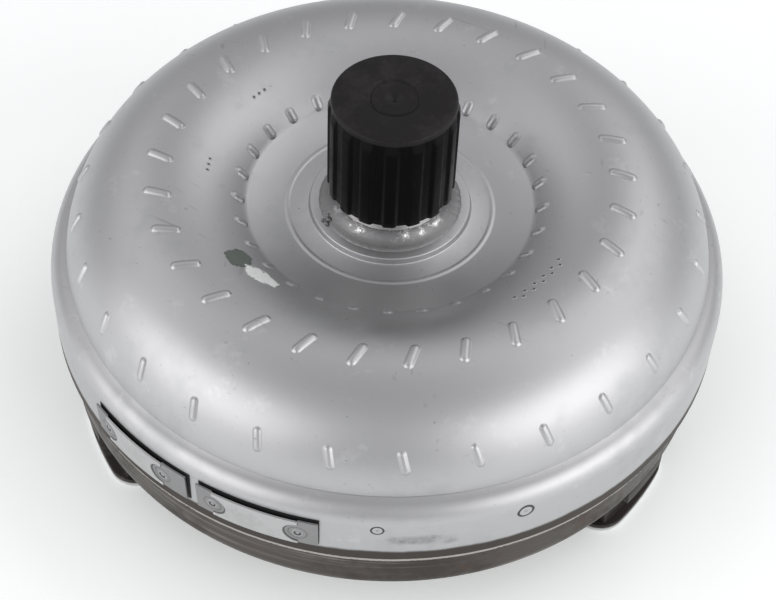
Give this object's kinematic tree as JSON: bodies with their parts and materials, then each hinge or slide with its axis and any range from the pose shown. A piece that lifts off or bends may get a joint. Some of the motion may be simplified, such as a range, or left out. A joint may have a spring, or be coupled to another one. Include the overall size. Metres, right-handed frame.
{
  "type": "torque converter",
  "caption": "Lock-up torque converter with welded shell, turbine, stator with one-way clutch, damper, drive-plate lugs and a ribbed shipping cap on its hub.",
  "frame": {"origin": "centre of the three drive-plate lug faces, on the axis of rotation", "axes": "+Z along the axis of rotation, towards the gearbox end and its pump-drive neck; the two balance weights are on the -Y side"},
  "size_m": [0.29, 0.2901, 0.1629],
  "materials": {
    "pressed_steel": "satin pressed steel, lightly scuffed",
    "cover_steel": "dark bare steel with an oily brown film",
    "lug_steel": "dark stamped steel with bright worn edges",
    "weld_steel": "heat-tinted weld bead",
    "hub_steel": "turned and ground steel",
    "weight_steel": "bare sheet steel",
    "cap_plastic": "moulded black plastic, semi-gloss",
    "bush_bronze": "plain bearing bronze",
    "blade_steel": "plain pressed sheet",
    "machined_steel": "machined steel",
    "cast_aluminium": "as cast",
    "spring_steel": "blued spring wire",
    "friction_paper": "bonded friction paper",
    "seal_rubber": "black moulded rubber",
    "bearing_steel": "polished bearing steel"
  },
  "bodies": {
    "casing": {"front_cover": "cover_steel", "pilot_boss": "hub_steel", "mounting_lugs": "lug_steel", "lug_nuts": "machined_steel", "rim_weld_bead": "weld_steel", "impeller_shell": "pressed_steel", "impeller_blades": "blade_steel", "impeller_core_ring": "blade_steel", "impeller_hub": "hub_steel", "hub_weld_bead": "hub_steel", "hub_bush": "bush_bronze", "balance_weight_left": "weight_steel", "balance_weight_right": "weight_steel", "front_bearing_cover_race": "bearing_steel", "rear_bearing_hub_race": "bearing_steel"},
    "cap": {"transport_cap": "cap_plastic"},
    "turbine": {"turbine_shell": "blade_steel", "turbine_blades": "blade_steel", "turbine_core_ring": "blade_steel", "turbine_hub": "machined_steel", "turbine_rivets": "machined_steel", "damper_driven_plate": "machined_steel", "piston_seal": "seal_rubber", "front_bearing_hub_race": "bearing_steel", "middle_bearing_turbine_race": "bearing_steel"},
    "damper": {"damper_retainer": "machined_steel", "damper_springs": "spring_steel"},
    "piston": {"lockup_piston": "blade_steel", "friction_lining": "friction_paper"},
    "stator": {"stator_wheel": "cast_aluminium", "stator_blades": "cast_aluminium", "stator_outer_ring": "cast_aluminium", "clutch_outer_race": "machined_steel", "clutch_rollers": "bearing_steel", "clutch_springs": "spring_steel", "clutch_retainer": "cast_aluminium", "clutch_snap_ring": "spring_steel", "middle_bearing_stator_race": "bearing_steel", "middle_bearing_cage": "machined_steel", "middle_bearing_needles": "bearing_steel", "rear_bearing_stator_race": "bearing_steel"},
    "clutch_race": {"clutch_inner_race": "machined_steel"},
    "front_cage": {"front_bearing_cage": "machined_steel", "front_bearing_needles": "bearing_steel"},
    "rear_cage": {"rear_bearing_cage": "machined_steel", "rear_bearing_needles": "bearing_steel"}
  },
  "joints": [
    {"name": "cap_pull", "type": "slide", "parent": "casing", "child": "cap", "axis": [0, 0, 1], "range_m": [0, 0.1]},
    {"name": "turbine_spin", "type": "hinge", "parent": "casing", "child": "turbine", "pos_m": [0, 0, 0.06], "axis": [0, 0, 1], "continuous": true},
    {"name": "damper_twist", "type": "hinge", "parent": "turbine", "child": "damper", "pos_m": [0, 0, 0.033], "axis": [0, 0, 1], "range_deg": [-5, 5], "stiffness_Nm_per_rad": 60, "deforming": ["damper_springs"]},
    {"name": "lockup_apply", "type": "slide", "parent": "damper", "child": "piston", "axis": [0, 0, -1], "range_m": [0, 0.0016]},
    {"name": "stator_spin", "type": "hinge", "parent": "casing", "child": "stator", "pos_m": [0, 0, 0.076], "axis": [0, 0, 1], "continuous": true},
    {"name": "clutch_slip", "type": "hinge", "parent": "stator", "child": "clutch_race", "pos_m": [0, 0, 0.075], "axis": [0, 0, 1], "continuous": true},
    {"name": "front_cage_spin", "type": "hinge", "parent": "casing", "child": "front_cage", "pos_m": [0, 0, 0.0227], "axis": [0, 0, 1], "continuous": true},
    {"name": "rear_cage_spin", "type": "hinge", "parent": "casing", "child": "rear_cage", "pos_m": [0, 0, 0.0925], "axis": [0, 0, 1], "continuous": true}
  ],
  "couplings": [
    {"joint": "front_cage_spin", "follows": "turbine_spin", "ratio": 0.5},
    {"joint": "rear_cage_spin", "follows": "stator_spin", "ratio": 0.5}
  ]
}
